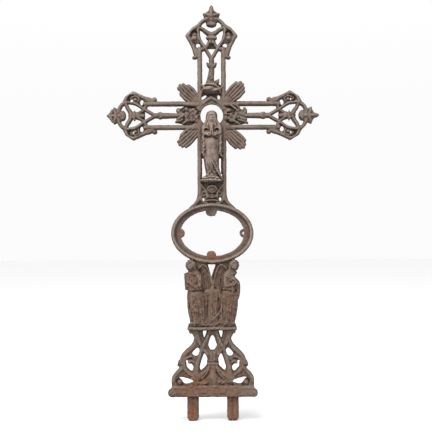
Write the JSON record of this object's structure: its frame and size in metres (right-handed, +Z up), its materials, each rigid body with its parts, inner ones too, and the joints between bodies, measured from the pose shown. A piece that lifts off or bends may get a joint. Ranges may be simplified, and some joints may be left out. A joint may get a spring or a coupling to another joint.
{
  "type": "cast iron grave cross",
  "caption": "Openwork cast iron grave cross with leaf ends, a praying figure under a halo, an oval plate frame, winged figures and tangs that set it in a stone.",
  "frame": {"origin": "middle of the base plate's underside, between the tangs, on the part's left-right middle line", "axes": "+Z up the shaft of the cross, +Y towards the flat back, so the relief faces -Y, and +X to the viewer's right"},
  "size_m": [0.5305, 0.0425, 1.0375],
  "materials": {
    "rusted_cast_iron": "bare cast iron, weathered to a dull brown-grey with darker hollows and brown rust at the foot"
  },
  "bodies": {
    "root": {"cross_casting": "rusted_cast_iron"}
  },
  "joints": []
}
